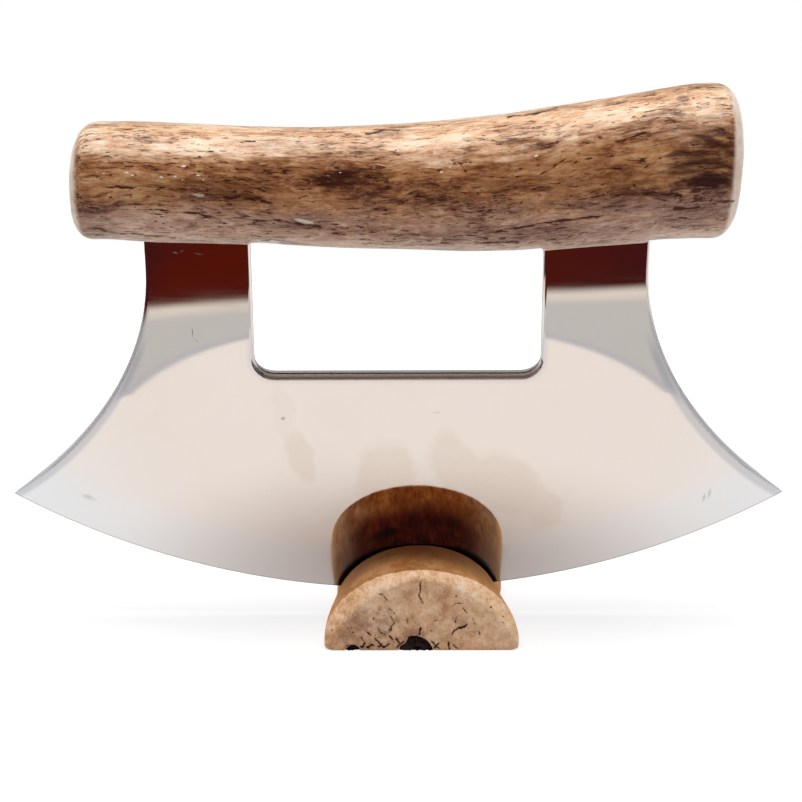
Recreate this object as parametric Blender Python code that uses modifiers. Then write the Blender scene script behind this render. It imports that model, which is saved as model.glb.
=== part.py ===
# Ulu knife with a bone handle, leaning forward in a half-round bone stand.
# Metres, +Z up. The origin is the middle of the stand's foot, +X runs along the
# handle, and the front of the knife faces -Y.
from math import cos, pi, radians, sin, sqrt, tan

import bmesh
import bpy
from mathutils import Vector

# Blade
BLADE_WIDTH = 0.1774           # from tip to tip
EDGE_RADIUS = 0.1739           # of the round cutting edge
BLADE_THICKNESS = 0.0032
BEVEL_WIDTH = 0.0095           # ground on the back, measured along the face
RELIEF_WIDTH = 0.0105          # the front is only eased back towards the edge
RELIEF_DEPTH = 0.00045
EDGE_ROUND = 0.0008            # polished over on the sides and in the window
TANG_SPAN = 0.1108             # over the outer sides of the two tangs
SIDE_START = 0.07705           # height over the edge where the sides begin to sweep out
SIDE_FULLNESS = 0.0207         # how long the side keeps its upright direction
TIP_FULLNESS = 0.0225          # how long it keeps the tip's direction
TIP_ANGLE = radians(56.5)      # of the side at the tip, from upright
WINDOW_WIDTH = 0.0644          # finger window between the tangs
WINDOW_FLOOR = 0.05245         # its floor, over the lowest point of the edge
WINDOW_CORNER = 0.0045
SIDE_STEPS = 22
CORNER_STEPS = 6
ROUND_STEPS = 2
EDGE_STEPS = 360
BLANK_OVERRUN = 0.006          # how far the blank reaches past the ground edge

# Handle
HANDLE_LENGTH = 0.1426
HANDLE_OFFSET = 0.0016         # its middle, right of the middle of the blade
HANDLE_HEIGHT = 0.0252         # at the slim left end
HANDLE_DEPTH = 0.0250          # at the slim left end
FINGER_GAP = 0.0294            # window floor to the handle's underside at mid-length
TANG_SINK = 0.0160             # how far the tangs run up into the bone
END_ROUND_DEPTH = 0.0043       # of the rounded end rims, along the handle
END_ROUND_REACH = 0.0070       # and across them
LEFT_END_TILT = radians(2.6)   # the left end is sawn a little out of square
SECTION_POWER_share = 2.15     # fuller than an ellipse, which is 2
MID_LENGTH_share = 0.5         # where the underside is lowest and the finger gap is measured
# Along the handle: place, rise of the axis, height and depth, all as shares.
HANDLE_shares = (
    (0.00, 0.065, 1.000, 1.00),
    (0.10, 0.062, 1.008, 1.01),
    (0.30, 0.022, 1.000, 1.02),
    (0.50, 0.000, 1.060, 1.04),
    (0.65, 0.044, 1.165, 1.08),
    (0.80, 0.133, 1.246, 1.13),
    (0.93, 0.208, 1.317, 1.16),
    (1.00, 0.212, 1.310, 1.15),
)
# Slow swells of the bone's surface: share of the radius, waves round, waves along, phase.
SWELL_shares = ((0.012, 2, 1.5, 0.4), (0.008, 3, 2.5, 2.1), (0.005, 5, 4.0, 1.2))
HANDLE_RINGS = 30
END_RINGS = 6
HANDLE_SIDES = 40

# Adhesive beds round the tangs, and the clearance that all parts keep
EPOXY_WALL = 0.0007
CLEARANCE = 0.0003
CUT_OVERRUN = 0.004            # how far every cutter runs past what it cuts

# Stand
STAND_WIDTH = 0.0428
STAND_DEPTH = 0.0550
STAND_HEIGHT = 0.0175
WAIST_share = 0.905            # width at the slot, as a share of the width at the ends
CROWN_share = 0.012            # how much the ends rise over the middle
STAND_POWER_share = 2.08
RIM_ROUND = 0.0019             # of the end faces' arched rims
FOOT_ROUND = 0.0008            # of the long lower corners
SLOT_DEPTH = 0.0113            # of the upright saw cut that the knife leans in
LEAN = radians(10.6)           # of the knife, from upright towards the front
KNIFE_OFFSET = -0.0053         # middle of the blade from the middle of the stand
KNIFE_SETBACK = 0.0020         # and behind it, at the foot of the blade
STAND_RINGS = 16
STAND_SIDES = 40
RIM_STEPS = 4
FOOT_STEPS = 3
# Open marrow at the front of the foot: offset, width, height and depth of each pit.
MARROW_PITS = (
    (-0.0010, 0.0078, 0.0030, 0.0070),
    (-0.0150, 0.0036, 0.0013, 0.0040),
)
PIT_RAGGED_shares = (0.14, 0.10)
PIT_SIDES = 14

# Colours
STEEL = (0.70, 0.68, 0.66)
HANDLE_BONE = (0.56, 0.36, 0.21)
STAND_BONE = (0.58, 0.36, 0.20)
EPOXY = (0.78, 0.72, 0.60)


def bone_share(table, place, column):
    """A value between the rows of a table of shares, eased so that it has no kinks."""
    last = len(table) - 1
    row = 0
    while row < last - 1 and place > table[row + 1][0]:
        row += 1
    before = table[max(row - 1, 0)]
    low = table[row]
    high = table[row + 1]
    after = table[min(row + 2, last)]
    span = high[0] - low[0]
    t = (place - low[0]) / span
    slope_low = (high[column] - before[column]) / (high[0] - before[0]) * span
    slope_high = (after[column] - low[column]) / (after[0] - low[0]) * span
    return (
        (2 * t**3 - 3 * t**2 + 1) * low[column]
        + (t**3 - 2 * t**2 + t) * slope_low
        + (3 * t**2 - 2 * t**3) * high[column]
        + (t**3 - t**2) * slope_high
    )


# Sizes that follow from the ones above
tip_height = EDGE_RADIUS - sqrt(EDGE_RADIUS**2 - (BLADE_WIDTH / 2) ** 2)
mid_height_share = bone_share(HANDLE_shares, MID_LENGTH_share, 2)
underside = WINDOW_FLOOR + FINGER_GAP
handle_axis = underside + HANDLE_HEIGHT * mid_height_share / 2
tang_top = underside + TANG_SINK
tang_width = (TANG_SPAN - WINDOW_WIDTH) / 2
tang_middle = (TANG_SPAN + WINDOW_WIDTH) / 4
bed = CLEARANCE + EPOXY_WALL + CLEARANCE
edge_forward = BLADE_THICKNESS / 2 - RELIEF_DEPTH
seat_height = STAND_HEIGHT - SLOT_DEPTH + CLEARANCE + edge_forward * sin(LEAN)


# Scene helpers

def clear_scene():
    for thing in list(bpy.data.objects):
        bpy.data.objects.remove(thing, do_unlink=True)


def new_collection(name):
    collection = bpy.data.collections.new(name)
    bpy.context.scene.collection.children.link(collection)
    return collection


def material(name, colour, roughness, metallic=0.0):
    made = bpy.data.materials.new(name)
    made.use_nodes = True
    shader = made.node_tree.nodes["Principled BSDF"]
    shader.inputs["Base Color"].default_value = (*colour, 1)
    shader.inputs["Roughness"].default_value = roughness
    shader.inputs["Metallic"].default_value = metallic
    made.diffuse_color = (*colour, 1)
    return made


def object_from(name, shape, collection, parent=None, finish=None):
    """A named object from a bmesh, linked, parented and shaded."""
    mesh = bpy.data.meshes.new(name)
    bmesh.ops.recalc_face_normals(shape, faces=shape.faces)
    shape.to_mesh(mesh)
    shape.free()
    made = bpy.data.objects.new(name, mesh)
    collection.objects.link(made)
    made.parent = parent
    if finish:
        mesh.materials.append(finish)
    mesh.shade_smooth()
    mesh.set_sharp_from_angle(angle=radians(30))
    return made


def as_cutter(thing):
    thing.hide_render = True
    thing.display_type = "WIRE"
    return thing


def boolean(target, cutter, operation):
    step = target.modifiers.new(operation.lower() + "_" + cutter.name, "BOOLEAN")
    step.operation = operation
    step.object = cutter
    step.solver = "EXACT"
    return step


def box_shape(size, middle):
    shape = bmesh.new()
    bmesh.ops.create_cube(shape, size=1.0)
    bmesh.ops.scale(shape, vec=size, verts=shape.verts)
    bmesh.ops.translate(shape, vec=middle, verts=shape.verts)
    return shape


def bridge_rings(shape, rings):
    """Skin between rings of vertices that have the same count, capped at both ends."""
    count = len(rings[0])
    for near, far in zip(rings, rings[1:]):
        for i in range(count):
            j = (i + 1) % count
            shape.faces.new((near[i], near[j], far[j], far[i]))
    shape.faces.new(list(reversed(rings[0])))
    shape.faces.new(rings[-1])


def section_fullness(angle, power):
    """How far a rounded section reaches in a direction, for a unit half width and height."""
    return (abs(cos(angle)) ** power + abs(sin(angle)) ** power) ** (-1 / power)


def rounded_end(depth, reach, steps):
    """Places and insets of the rings that round an end over, from its face inwards."""
    angles = [pi / 2 * step / steps for step in range(steps, 0, -1)]
    return [(depth * (1 - sin(angle)), reach * (1 - cos(angle))) for angle in angles]


# Blade

def side_curve():
    """The sweeping right side, from the tang down to the tip."""
    tip = Vector((BLADE_WIDTH / 2, tip_height))
    start = Vector((TANG_SPAN / 2, SIDE_START))
    pull_start = start - Vector((0, SIDE_FULLNESS))
    pull_tip = tip + Vector((-sin(TIP_ANGLE), cos(TIP_ANGLE))) * TIP_FULLNESS
    points = []
    for step in range(SIDE_STEPS + 1):
        t = step / SIDE_STEPS
        points.append(
            start * (1 - t) ** 3
            + pull_start * 3 * t * (1 - t) ** 2
            + pull_tip * 3 * t**2 * (1 - t)
            + tip * t**3
        )
    return points


def window_corner():
    """The round corner of the window's right half, from its side to its floor."""
    middle = Vector((WINDOW_WIDTH / 2 - WINDOW_CORNER, WINDOW_FLOOR + WINDOW_CORNER))
    points = []
    for step in range(CORNER_STEPS + 1):
        angle = -pi / 2 * step / CORNER_STEPS
        points.append(middle + WINDOW_CORNER * Vector((cos(angle), sin(angle))))
    return points


def blank_outline():
    """The plate before its edge is ground: it runs out square below the tips."""
    side = side_curve()
    past_tip = side[-1] + Vector((sin(TIP_ANGLE), -cos(TIP_ANGLE))) * BLANK_OVERRUN
    right = [Vector((past_tip.x, -BLANK_OVERRUN)), past_tip]
    right += reversed(side)
    right.append(Vector((TANG_SPAN / 2, tang_top)))
    right.append(Vector((WINDOW_WIDTH / 2, tang_top)))
    right += window_corner()
    left = [Vector((-point.x, point.y)) for point in reversed(right)]
    return right + left


def blank_plate(collection, seat):
    """The flat outline as a filled curve with its edges rounded over, made a mesh."""
    curve = bpy.data.curves.new("blade", "CURVE")
    curve.dimensions = "2D"
    curve.fill_mode = "BOTH"
    curve.extrude = BLADE_THICKNESS / 2 - EDGE_ROUND
    curve.bevel_depth = EDGE_ROUND
    curve.bevel_resolution = ROUND_STEPS
    curve.offset = -EDGE_ROUND
    outline = blank_outline()
    spline = curve.splines.new("POLY")
    spline.points.add(len(outline) - 1)
    for point, place in zip(spline.points, outline):
        point.co = (place.x, place.y, 0, 1)
    spline.use_cyclic_u = True
    drawn = bpy.data.objects.new("blade_curve", curve)
    collection.objects.link(drawn)
    drawn.rotation_euler = (pi / 2, 0, 0)
    bpy.context.view_layer.update()
    evaluated = drawn.evaluated_get(bpy.context.evaluated_depsgraph_get())
    mesh = bpy.data.meshes.new_from_object(evaluated)
    shape = bmesh.new()
    shape.from_mesh(mesh)
    bmesh.ops.transform(shape, matrix=drawn.matrix_world, verts=shape.verts)
    bmesh.ops.remove_doubles(shape, verts=shape.verts, dist=CLEARANCE / 100)
    bpy.data.objects.remove(drawn, do_unlink=True)
    bpy.data.meshes.remove(mesh)
    return object_from("blade", shape, collection, seat)


def grinding_lens(collection, seat):
    """Two shallow cones, rim to rim: what the plate keeps when its edge is ground."""
    relief_slope = RELIEF_DEPTH / RELIEF_WIDTH
    bevel_slope = (BLADE_THICKNESS - RELIEF_DEPTH) / BEVEL_WIDTH
    reach = BLADE_THICKNESS / 2 + CUT_OVERRUN
    front_radius = EDGE_RADIUS - (reach - edge_forward) / relief_slope
    back_radius = EDGE_RADIUS - (reach + edge_forward) / bevel_slope
    shape = bmesh.new()
    profile = [
        shape.verts.new((0, 0, reach)),
        shape.verts.new((front_radius, 0, reach)),
        shape.verts.new((EDGE_RADIUS, 0, edge_forward)),
        shape.verts.new((back_radius, 0, -reach)),
        shape.verts.new((0, 0, -reach)),
    ]
    for near, far in zip(profile, profile[1:]):
        shape.edges.new((near, far))
    lens = object_from("grinding_lens", shape, collection, seat)
    turned = lens.modifiers.new("turned", "SCREW")
    turned.steps = EDGE_STEPS
    turned.render_steps = EDGE_STEPS
    turned.use_merge_vertices = True
    turned.merge_threshold = CLEARANCE / 100
    lens.location = (0, 0, EDGE_RADIUS)
    lens.rotation_euler = (pi / 2, 0, 0)
    return as_cutter(lens)


def make_blade(collection, cutters, seat):
    blade = blank_plate(collection, seat)
    blade.data.materials.append(material("polished_steel", STEEL, 0.08, 1.0))
    boolean(blade, grinding_lens(cutters, seat), "INTERSECT")
    return blade


# Handle

def handle_ring(shape, along, inset, tilt):
    """One section of the bone: its place along the handle and how far it is drawn in."""
    place = along / HANDLE_LENGTH
    height = HANDLE_HEIGHT * bone_share(HANDLE_shares, place, 2) / 2 - inset
    depth = HANDLE_DEPTH * bone_share(HANDLE_shares, place, 3) / 2 - inset
    rise = HANDLE_HEIGHT * bone_share(HANDLE_shares, place, 1)
    ring = []
    for side in range(HANDLE_SIDES):
        angle = 2 * pi * side / HANDLE_SIDES
        fullness = section_fullness(angle, SECTION_POWER_share)
        for share, waves_round, waves_along, phase in SWELL_shares:
            fullness *= 1 + share * sin(waves_round * angle + 2 * pi * waves_along * place + phase)
        up = height * fullness * sin(angle)
        ring.append(
            shape.verts.new((
                HANDLE_OFFSET - HANDLE_LENGTH / 2 + along + tan(tilt) * up,
                depth * fullness * cos(angle),
                handle_axis + rise + up,
            ))
        )
    return ring


def handle_blank():
    """The whole bone before its mortises: a loft from end to end with rounded rims."""
    shape = bmesh.new()
    rim = rounded_end(END_ROUND_DEPTH, END_ROUND_REACH, END_RINGS)
    straight = HANDLE_LENGTH - 2 * END_ROUND_DEPTH
    rings = [handle_ring(shape, along, inset, LEFT_END_TILT) for along, inset in rim]
    for step in range(HANDLE_RINGS + 1):
        share = step / HANDLE_RINGS
        along = END_ROUND_DEPTH + straight * share
        rings.append(handle_ring(shape, along, 0, LEFT_END_TILT * (1 - share)))
    rings += [handle_ring(shape, HANDLE_LENGTH - along, inset, 0) for along, inset in reversed(rim)]
    bridge_rings(shape, rings)
    return shape


def tang_block(name, side, margin, collection, seat):
    """A block round one tang, larger than it by a margin all over, open at the bottom."""
    low = underside - HANDLE_HEIGHT / 2 - CUT_OVERRUN
    high = tang_top + margin
    shape = box_shape(
        (tang_width + 2 * margin, BLADE_THICKNESS + 2 * margin, high - low),
        (side * tang_middle, 0, (high + low) / 2),
    )
    return object_from(name, shape, collection, seat)


def make_handle(collection, cutters, seat):
    finish = material("handle_bone", HANDLE_BONE, 0.32)
    handle = object_from("handle", handle_blank(), collection, seat, finish)
    for name, side in (("left", -1), ("right", 1)):
        mortise = tang_block(name + "_mortise", side, bed, cutters, seat)
        boolean(handle, as_cutter(mortise), "DIFFERENCE")
    return handle


def make_epoxy(collection, cutters, seat):
    """A bed of set adhesive round each tang, flush with the bone where it comes out."""
    bone = as_cutter(object_from("bone_outside", handle_blank(), cutters, seat))
    beds = []
    for name, side in (("left", -1), ("right", 1)):
        fill = tang_block(name + "_tang_epoxy", side, bed - CLEARANCE, collection, seat)
        fill.data.materials.append(material(name + "_epoxy", EPOXY, 0.45))
        boolean(fill, bone, "INTERSECT")
        space = tang_block(name + "_tang_space", side, CLEARANCE, cutters, seat)
        boolean(fill, as_cutter(space), "DIFFERENCE")
        beds.append(fill)
    return beds


# Stand

def stand_ring(shape, place, inset):
    """One arched section: its place from front to back and how far it is drawn in."""
    along = 2 * place / STAND_DEPTH
    waist = 1 - (1 - WAIST_share) * cos(along * pi / 2) ** 2
    half_width = STAND_WIDTH / 2 * waist - inset
    rise = STAND_HEIGHT * (1 + CROWN_share * along**2) - inset - FOOT_ROUND
    outline = []
    for step in range(FOOT_STEPS):
        angle = pi / 2 * (step / FOOT_STEPS - 1)
        across = half_width - FOOT_ROUND + FOOT_ROUND * cos(angle)
        outline.append((across, FOOT_ROUND + FOOT_ROUND * sin(angle)))
    for side in range(STAND_SIDES + 1):
        angle = pi * side / STAND_SIDES
        fullness = section_fullness(angle, STAND_POWER_share)
        across = half_width * fullness * cos(angle)
        outline.append((across, FOOT_ROUND + rise * fullness * sin(angle)))
    outline += [(-across, up) for across, up in reversed(outline[:FOOT_STEPS])]
    return [shape.verts.new((across, place, up)) for across, up in outline]


def stand_body():
    """The half-round block, lofted from front to back with rounded rims."""
    shape = bmesh.new()
    rim = rounded_end(RIM_ROUND, RIM_ROUND, RIM_STEPS)
    inner = STAND_DEPTH - 2 * RIM_ROUND
    rings = [stand_ring(shape, along - STAND_DEPTH / 2, inset) for along, inset in rim]
    for step in range(STAND_RINGS + 1):
        rings.append(stand_ring(shape, inner * (step / STAND_RINGS - 1 / 2), 0))
    rings += [stand_ring(shape, STAND_DEPTH / 2 - along, inset) for along, inset in reversed(rim)]
    bridge_rings(shape, rings)
    return shape


def slot_walls():
    """Where the upright saw cut's front and back walls stand: just clear of the leaning blade."""
    half = BLADE_THICKNESS / 2
    up_to_top = (STAND_HEIGHT - seat_height + half * sin(LEAN)) / cos(LEAN)
    front = KNIFE_SETBACK - up_to_top * sin(LEAN) - half * cos(LEAN)
    shoulder = KNIFE_SETBACK - BEVEL_WIDTH * sin(LEAN) + half * cos(LEAN)
    return front - CLEARANCE, shoulder + CLEARANCE


def slot_cutter(collection):
    """The saw cut across the stand's top."""
    front, back = slot_walls()
    high = SLOT_DEPTH + CUT_OVERRUN
    shape = box_shape(
        (STAND_WIDTH + 2 * CUT_OVERRUN, back - front, high),
        (0, (front + back) / 2, STAND_HEIGHT - SLOT_DEPTH + high / 2),
    )
    return as_cutter(object_from("slot", shape, collection))


def marrow_cutter(name, pit, collection):
    """A ragged pit where the spongy core meets the front face and the foot."""
    offset, width, height, depth = pit
    shape = bmesh.new()
    bmesh.ops.create_uvsphere(shape, u_segments=PIT_SIDES, v_segments=PIT_SIDES // 2, radius=1)
    for vert in shape.verts:
        across, deep, up = vert.co
        ragged = 1 + PIT_RAGGED_shares[0] * sin(5 * across + 3 * up)
        ragged += PIT_RAGGED_shares[1] * cos(7 * up + 4 * deep)
        vert.co = Vector((
            offset + across * ragged * width / 2,
            deep * depth - STAND_DEPTH / 2,
            up * ragged * height,
        ))
    return as_cutter(object_from(name, shape, collection))


def make_stand(collection, cutters):
    finish = material("stand_bone", STAND_BONE, 0.35)
    stand = object_from("stand", stand_body(), collection, None, finish)
    boolean(stand, slot_cutter(cutters), "DIFFERENCE")
    for number, pit in enumerate(MARROW_PITS):
        boolean(stand, marrow_cutter(f"marrow_pit_{number}", pit, cutters), "DIFFERENCE")
    return stand


def knife_seat(collection):
    """Carries the knife, leaning, with its edge just over the slot's floor."""
    seat = bpy.data.objects.new("knife_seat", None)
    seat.empty_display_size = BLADE_THICKNESS
    seat.location = (KNIFE_OFFSET, KNIFE_SETBACK, seat_height)
    seat.rotation_euler = (LEAN, 0, 0)
    collection.objects.link(seat)
    return seat


def main():
    clear_scene()
    parts = new_collection("ulu_knife")
    cutters = new_collection("cutters")
    seat = knife_seat(parts)
    make_blade(parts, cutters, seat)
    make_handle(parts, cutters, seat)
    make_epoxy(parts, cutters, seat)
    make_stand(parts, cutters)
    bpy.context.view_layer.update()


main()
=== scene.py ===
# Looks of the ulu knife: a polished blade, a bone handle and a half-round bone stand.
# Metres, +Z up, in the frame of the CAD model. The front of the knife faces -Y.
from math import cos, pi, radians, sin

import bmesh
import bpy
import numpy as np
from mathutils import Matrix, Vector, noise
from mathutils.bvhtree import BVHTree


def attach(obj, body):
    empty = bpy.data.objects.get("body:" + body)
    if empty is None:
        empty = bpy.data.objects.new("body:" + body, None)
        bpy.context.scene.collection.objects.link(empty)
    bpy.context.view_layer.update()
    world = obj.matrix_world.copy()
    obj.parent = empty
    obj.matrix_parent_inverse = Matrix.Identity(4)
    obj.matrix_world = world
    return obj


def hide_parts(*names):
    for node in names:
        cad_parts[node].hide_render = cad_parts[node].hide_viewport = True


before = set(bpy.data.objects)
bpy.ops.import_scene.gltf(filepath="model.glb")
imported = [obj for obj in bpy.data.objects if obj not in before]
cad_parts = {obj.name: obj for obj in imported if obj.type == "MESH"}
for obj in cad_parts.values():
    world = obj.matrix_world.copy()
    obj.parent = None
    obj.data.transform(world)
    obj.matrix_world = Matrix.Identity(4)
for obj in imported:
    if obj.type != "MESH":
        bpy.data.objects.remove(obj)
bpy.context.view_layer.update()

# Camera, solved from the outlines in the photograph
CAMERA_PLACE = (-0.00279, -0.36546, 0.10584)
CAMERA_PITCH = radians(8.516)  # downwards
CAMERA_YAW = radians(0.281)
CAMERA_ROLL = radians(-0.176)
FOCAL_PIXELS = 1600
PHOTO_PIXELS = 802
SENSOR_MM = 36
CLIP_START = 0.01

# Light
KEY_PLACE = (-0.03, -0.12, 0.78)
KEY_AIM = (0.0, -0.02, 0.08)
KEY_SIZE = (0.55, 0.36)
KEY_POWER = 4.9
FILL_STRENGTH = 0.34  # of the world, for everything but its own picture
# A mirror sees the room darken upwards and to the front: where on a unit ray, and how much.
SKY_HIGH = (0.1, 0.5, 1.0, 0.24)
SKY_FRONT = (-0.35, 0.3, 0.2, 1.0)
WHITE = (1.0, 1.0, 1.0)

# Blade, as in the CAD model
LEAN = radians(10.6)
BLADE_SEAT = Vector((-0.0053, 0.002, 0.006712))  # the lowest point of the edge
BLADE_UP = Vector((0, -sin(LEAN), cos(LEAN)))
BLADE_FRONT = Vector((0, -cos(LEAN), -sin(LEAN)))
BLADE_THICKNESS = 0.0032
EDGE_RADIUS = 0.1739
BEVEL_WIDTH = 0.0095  # ground on the back
RELIEF_WIDTH = 0.0105  # the front is only eased back
RELIEF_DEPTH = 0.00045
RELIEF_SHOWN = 0.15  # of that ease in the front's mirror image
MIRROR_TILT = radians(0.72)  # the polished front is not quite flat: it mirrors as if
MIRROR_TURN = radians(0.83)  # leaning more and turned a little to the right
MIRROR_FRONT = (Matrix.Rotation(MIRROR_TURN, 3, "Z") @ Matrix.Rotation(MIRROR_TILT, 3, "X")
                @ BLADE_FRONT)
FLAT_LIMIT = 0.9999  # a face this square to the blade's front is flat
GROUND_LIMIT = 0.999  # and one this near to the grind's cone is ground
BROAD_LIMIT = 0.5  # an edge face turned to the front this much shades as the flat
SMOOTH_LIMIT = 0.7  # edge faces this much alike are smoothed together

# Fine meshes
HANDLE_EVEN = (0.0003, 34)  # size of a voxel, and passes that smooth the facets away
STAND_EVEN = (0.00024, 14)
WELD = 0.000002
SEED_STEPS = (7.13, 3.71, 5.37)
MARK_EDGE = (0.45, 1.15)  # an oval mark fades between these shares of its size
CRACK_REACH = 4.0  # of a painted crack's field, in half widths
CRACK_CUT = (0.45, 0.95)  # the field's values where the surface sinks into the crack
SWELL_SHIFT = 0.0012  # how far the swells of a bone move the edge of a shade


# Meshes

def new_object(name, data):
    made = bpy.data.objects.new(name, data)
    bpy.context.scene.collection.objects.link(made)
    return made


def mesh_piece(name, mesh, body, slot, *nodes):
    """A finished mesh as a piece that stands for CAD nodes and rides on their body."""
    piece = new_object(name, mesh)
    if nodes:
        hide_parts(*nodes)
    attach(piece, body)
    return piece


def welded_mesh(node, name):
    """A copy of a CAD node's mesh with its doubled vertices joined."""
    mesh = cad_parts[node].data.copy()
    mesh.name = name
    mesh.materials.clear()
    shape = bmesh.new()
    shape.from_mesh(mesh)
    bmesh.ops.remove_doubles(shape, verts=shape.verts, dist=WELD)
    shape.to_mesh(mesh)
    shape.free()
    return mesh


def even_mesh(node, name, voxel, passes):
    """The node's shape in small even faces without facets, and its points and normals."""
    rough = new_object(name, welded_mesh(node, name))
    remesh = rough.modifiers.new("even", "REMESH")
    remesh.mode = "VOXEL"
    remesh.voxel_size = voxel
    smooth = rough.modifiers.new("facets", "SMOOTH")
    smooth.factor = 0.5
    smooth.iterations = passes
    graph = bpy.context.evaluated_depsgraph_get()
    mesh = bpy.data.meshes.new_from_object(rough.evaluated_get(graph))
    bpy.data.objects.remove(rough, do_unlink=True)
    smooth_faces(mesh)
    return mesh, read_rows(mesh.vertices, "co"), read_rows(mesh.vertex_normals, "vector")


def smooth_faces(mesh):
    for face in mesh.polygons:
        face.use_smooth = True
    return mesh


def read_rows(vectors, name):
    rows = np.empty(len(vectors) * 3, dtype=np.float32)
    vectors.foreach_get(name, rows)
    return rows.reshape(-1, 3).astype(float)


def move_points(mesh, points):
    mesh.vertices.foreach_set("co", points.astype(np.float32).ravel())
    mesh.update()


def paint(mesh, **fields):
    """Keeps values for every vertex under their names, for the material to read."""
    for name, values in fields.items():
        layer = mesh.attributes.new(name, "FLOAT", "POINT")
        layer.data.foreach_set("value", np.clip(values, 0, 1).astype(np.float32))


def paint_places(mesh, name, places):
    layer = mesh.attributes.new(name, "FLOAT_VECTOR", "POINT")
    layer.data.foreach_set("vector", places.astype(np.float32).ravel())


def step_up(values, low, high):
    """0 below low, 1 above high, and eased in between."""
    t = np.clip((values - low) / (high - low), 0, 1)
    return t * t * (3 - 2 * t)


def grain(points, cells, seed, octaves, strength=1.0):
    """Noise of about -1 to 1 times the strength, with cells of the given size along each axis."""
    places = points / np.array(cells) + np.array(SEED_STEPS) * seed
    return strength * np.array([noise.fractal(place, 1.0, 2.0, octaves) for place in places])


def patch(across, up, middle, size, ragged, turn):
    """An oval mark: 1 in its middle and 0 outside, with an edge that the noise eats at."""
    x = across - middle[0]
    z = up - middle[1]
    along = (x * cos(turn) + z * sin(turn)) / size[0]
    over = (z * cos(turn) - x * sin(turn)) / size[1]
    return 1 - step_up(np.sqrt(along**2 + over**2) + ragged, *MARK_EDGE)


def line_distance(across, up, corners):
    """How far each point is from a bent line."""
    nearest = np.full(len(across), 1.0)
    for (x0, z0), (x1, z1) in zip(corners, corners[1:]):
        run = np.array((x1 - x0, z1 - z0))
        share = ((across - x0) * run[0] + (up - z0) * run[1]) / run.dot(run)
        share = np.clip(share, 0, 1)
        gap = np.hypot(across - x0 - share * run[0], up - z0 - share * run[1])
        nearest = np.minimum(nearest, gap)
    return nearest


def crack_field(across, up, table):
    """1 on a crack's line, falling to 0 four half widths away; the material draws its edge."""
    field = np.zeros(len(across))
    for width, *corners in table:
        gap = line_distance(across, up, [millimetres(*corner) for corner in corners])
        field = np.maximum(field, 1 - gap / millimetres(CRACK_REACH * width)[0])
    return field


def mark_field(across, up, table, ragged):
    """The strongest of a table's oval marks at each point."""
    field = np.zeros(len(across))
    for x, z, length, height, turn, strength in table:
        mark = patch(across, up, millimetres(x, z), millimetres(length, height), ragged, radians(turn))
        field = np.maximum(field, mark * strength)
    return field


def millimetres(*values):
    return tuple(value / 1000 for value in values)


# Materials

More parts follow.
